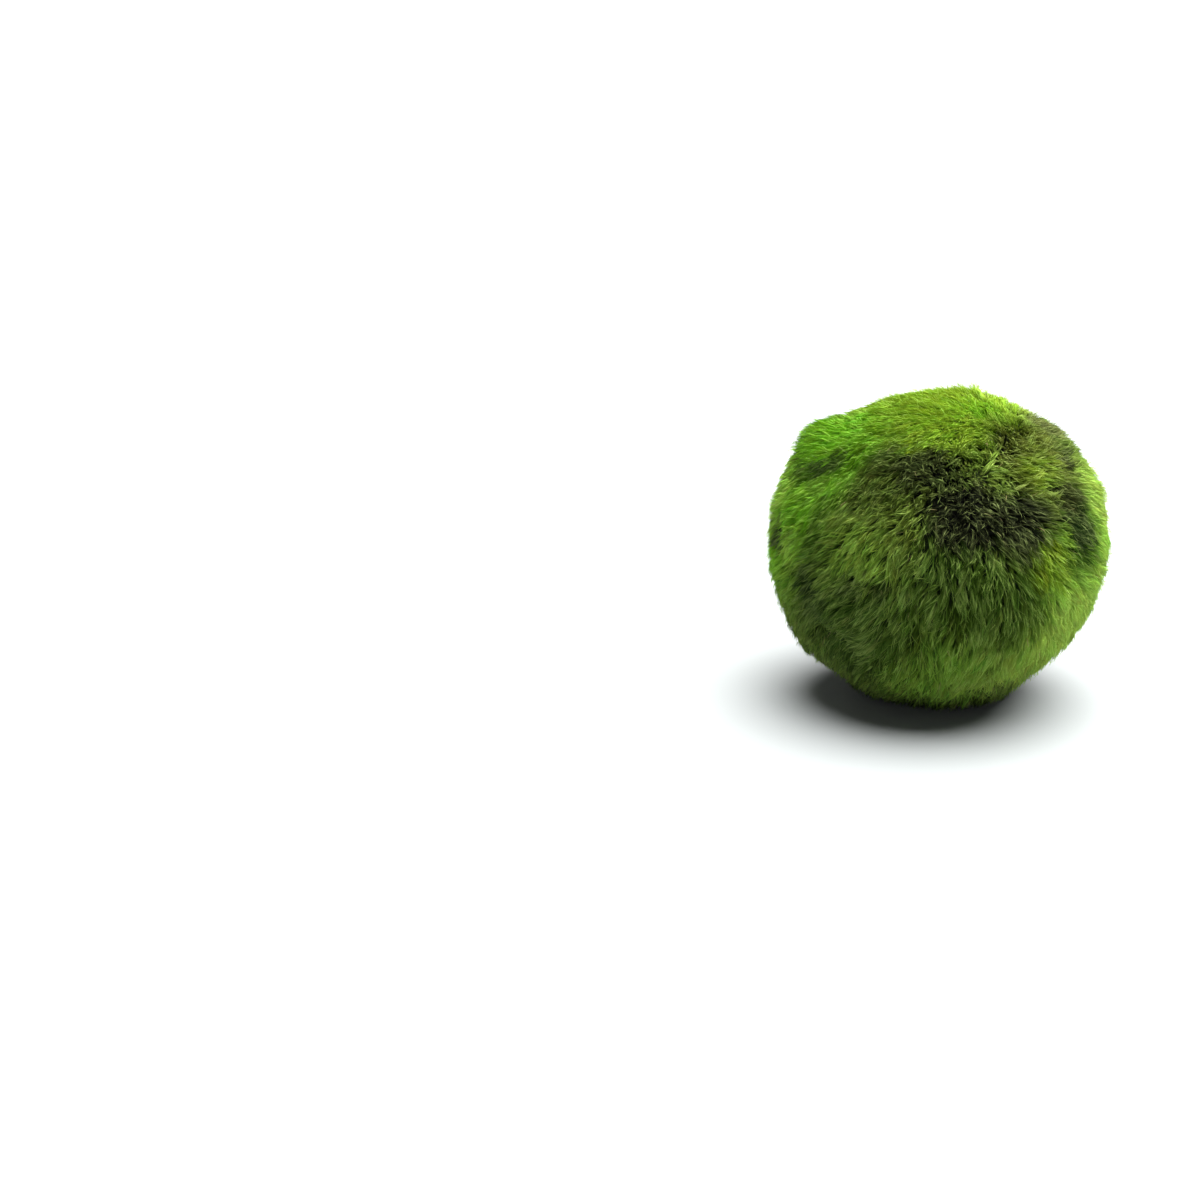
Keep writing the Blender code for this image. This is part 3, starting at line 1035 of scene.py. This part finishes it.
class MOSS_OT_studio(bpy.types.Operator):
    """Set up the floor, the lights and the camera"""

    bl_idname = "moss.studio"
    bl_label = "Studio"

    FLOOR_RINGS, FLOOR_SPOKES = 8, 96
    FLOOR_PAINT = {"Base Color": (0.305, 0.32, 0.318, 1), "Roughness": 0.7}
    # Degrees: how wide the overhead light is, and how it is turned about X, Y and Z.
    LIGHT_WIDTH, LIGHT_TURN = 74, (-12, 12, 0)
    SURROUND_COLOUR = (0.97, 1.0, 0.985, 1)
    # The white band fades out between these sines of the angle over the horizon.
    BAND_FADE = (0.1, 0.24)
    LENS, SENSOR_WIDTH = 85, 36
    # Degrees: how far the camera looks down, and to the left of the ball.
    LOOK_DOWN, LOOK_LEFT = 19.33, 7.15

    def execute(self, context):
        sizes = context.scene.moss_studio
        self.add_floor(sizes)
        self.add_lights(context, sizes)
        self.add_camera(context, sizes)
        return {"FINISHED"}

    def add_floor(self, sizes):
        """A round white floor, as rings of corners about its middle."""
        rings, spokes = self.FLOOR_RINGS, self.FLOOR_SPOKES
        turn = np.linspace(0, 2 * math.pi, spokes, endpoint=False)
        radii = np.linspace(0, sizes.floor_radius, rings + 1)[1:, None]
        round_middle = np.stack(
            (np.cos(turn) * radii, np.sin(turn) * radii, np.zeros((rings, spokes))), -1
        ).reshape(-1, 3)
        corners = np.concatenate(([[0.0, 0, 0]], round_middle))
        square = 1 + np.arange(rings * spokes).reshape(rings, spokes)
        after = np.roll(square, -1, axis=1)
        inner = np.stack((np.zeros(spokes, int), square[0], after[0]), -1)
        quads = np.stack((square[:-1], square[1:], after[1:], after[:-1]), -1).reshape(-1, 4)
        face_sizes = np.concatenate(([3] * spokes, [4] * len(quads)))
        numbers = np.concatenate((inner.ravel(), quads.ravel()))
        mesh = surface_mesh("floor", corners, face_sizes, numbers)
        shader = Shader(bpy.data.materials.new("white_floor"))
        paint = shader.node("ShaderNodeBsdfPrincipled", None, self.FLOOR_PAINT)
        mesh.materials.append(shader.finish(paint))
        floor = bpy.data.objects.new("floor", mesh)
        bpy.context.scene.collection.objects.link(floor)

    def add_lights(self, context, sizes):
        """A wide overhead light from a little behind and right, and a white band all round that
        is no higher than the horizon of a low view."""
        lamp = bpy.data.lights.new("overhead", "SUN")
        lamp.energy = sizes.overhead_strength
        lamp.angle = math.radians(self.LIGHT_WIDTH)
        overhead = bpy.data.objects.new("overhead", lamp)
        overhead.rotation_euler = np.radians(self.LIGHT_TURN)
        context.scene.collection.objects.link(overhead)
        sky = Shader(bpy.data.worlds.new("surround"))
        way = sky.node("ShaderNodeTexCoord", output="Generated")
        height = sky.node("ShaderNodeSeparateXYZ", None, {0: way}, output="Z")
        low, high = self.BAND_FADE
        fall = {"Value": height, "From Min": low, "From Max": high, "To Min": 1, "To Max": 0}
        band = sky.node("ShaderNodeMapRange", None, fall)
        strength = band * sizes.horizon_strength + sizes.surround_strength
        light = {"Color": self.SURROUND_COLOUR, "Strength": strength}
        context.scene.world = sky.finish(
            sky.node("ShaderNodeBackground", None, light), "ShaderNodeOutputWorld"
        )
        context.scene.view_settings.view_transform = "Standard"

    def add_camera(self, context, sizes):
        """The camera looks past the ball, which stands right of the middle of the picture."""
        camera = bpy.data.cameras.new("camera")
        camera.lens, camera.sensor_width = self.LENS, self.SENSOR_WIDTH
        camera.clip_start, camera.clip_end = 0.01, 20
        eye = bpy.data.objects.new("camera", camera)
        back = toward(0, math.degrees(sizes.camera_elevation))
        eye.location = MIDDLE + back * sizes.camera_distance
        eye.rotation_euler = np.radians((90 - self.LOOK_DOWN, 0, self.LOOK_LEFT))
        context.scene.collection.objects.link(eye)
        context.scene.camera = eye


class MOSS_PT_panel(bpy.types.Panel):
    """The ball's sizes and colours, and the buttons that make its pieces"""

    bl_label = "Moss Ball"
    bl_idname = "MOSS_PT_panel"
    bl_space_type = "VIEW_3D"
    bl_region_type = "UI"
    bl_category = "Moss Ball"

    def draw(self, context):
        for place, group in GROUPS.items():
            box = self.layout.box()
            for name in group.__annotations__:
                box.prop(getattr(context.scene, place), name)
        for operator in OPERATORS:
            self.layout.operator(operator.bl_idname)


GROUPS = {"moss_pile": PileSizes, "moss_colours": MossColours, "moss_studio": StudioSizes}
OPERATORS = (MOSS_OT_felt, MOSS_OT_pile, MOSS_OT_loose_hairs, MOSS_OT_studio)


def register():
    """Adds the classes and the properties to Blender."""
    for each in (*GROUPS.values(), *OPERATORS, MOSS_PT_panel):
        bpy.utils.register_class(each)
    for name, group in GROUPS.items():
        setattr(bpy.types.Scene, name, PointerProperty(type=group))


def unregister():
    """Takes the properties and the classes out of Blender again."""
    for name in GROUPS:
        delattr(bpy.types.Scene, name)
    for each in (MOSS_PT_panel, *reversed(OPERATORS), *GROUPS.values()):
        bpy.utils.unregister_class(each)


def main():
    """Makes every piece in order."""
    register()
    bpy.ops.moss.felt()
    bpy.ops.moss.pile()
    bpy.ops.moss.loose_hairs()
    bpy.ops.moss.studio()


if __name__ == "__main__":
    main()
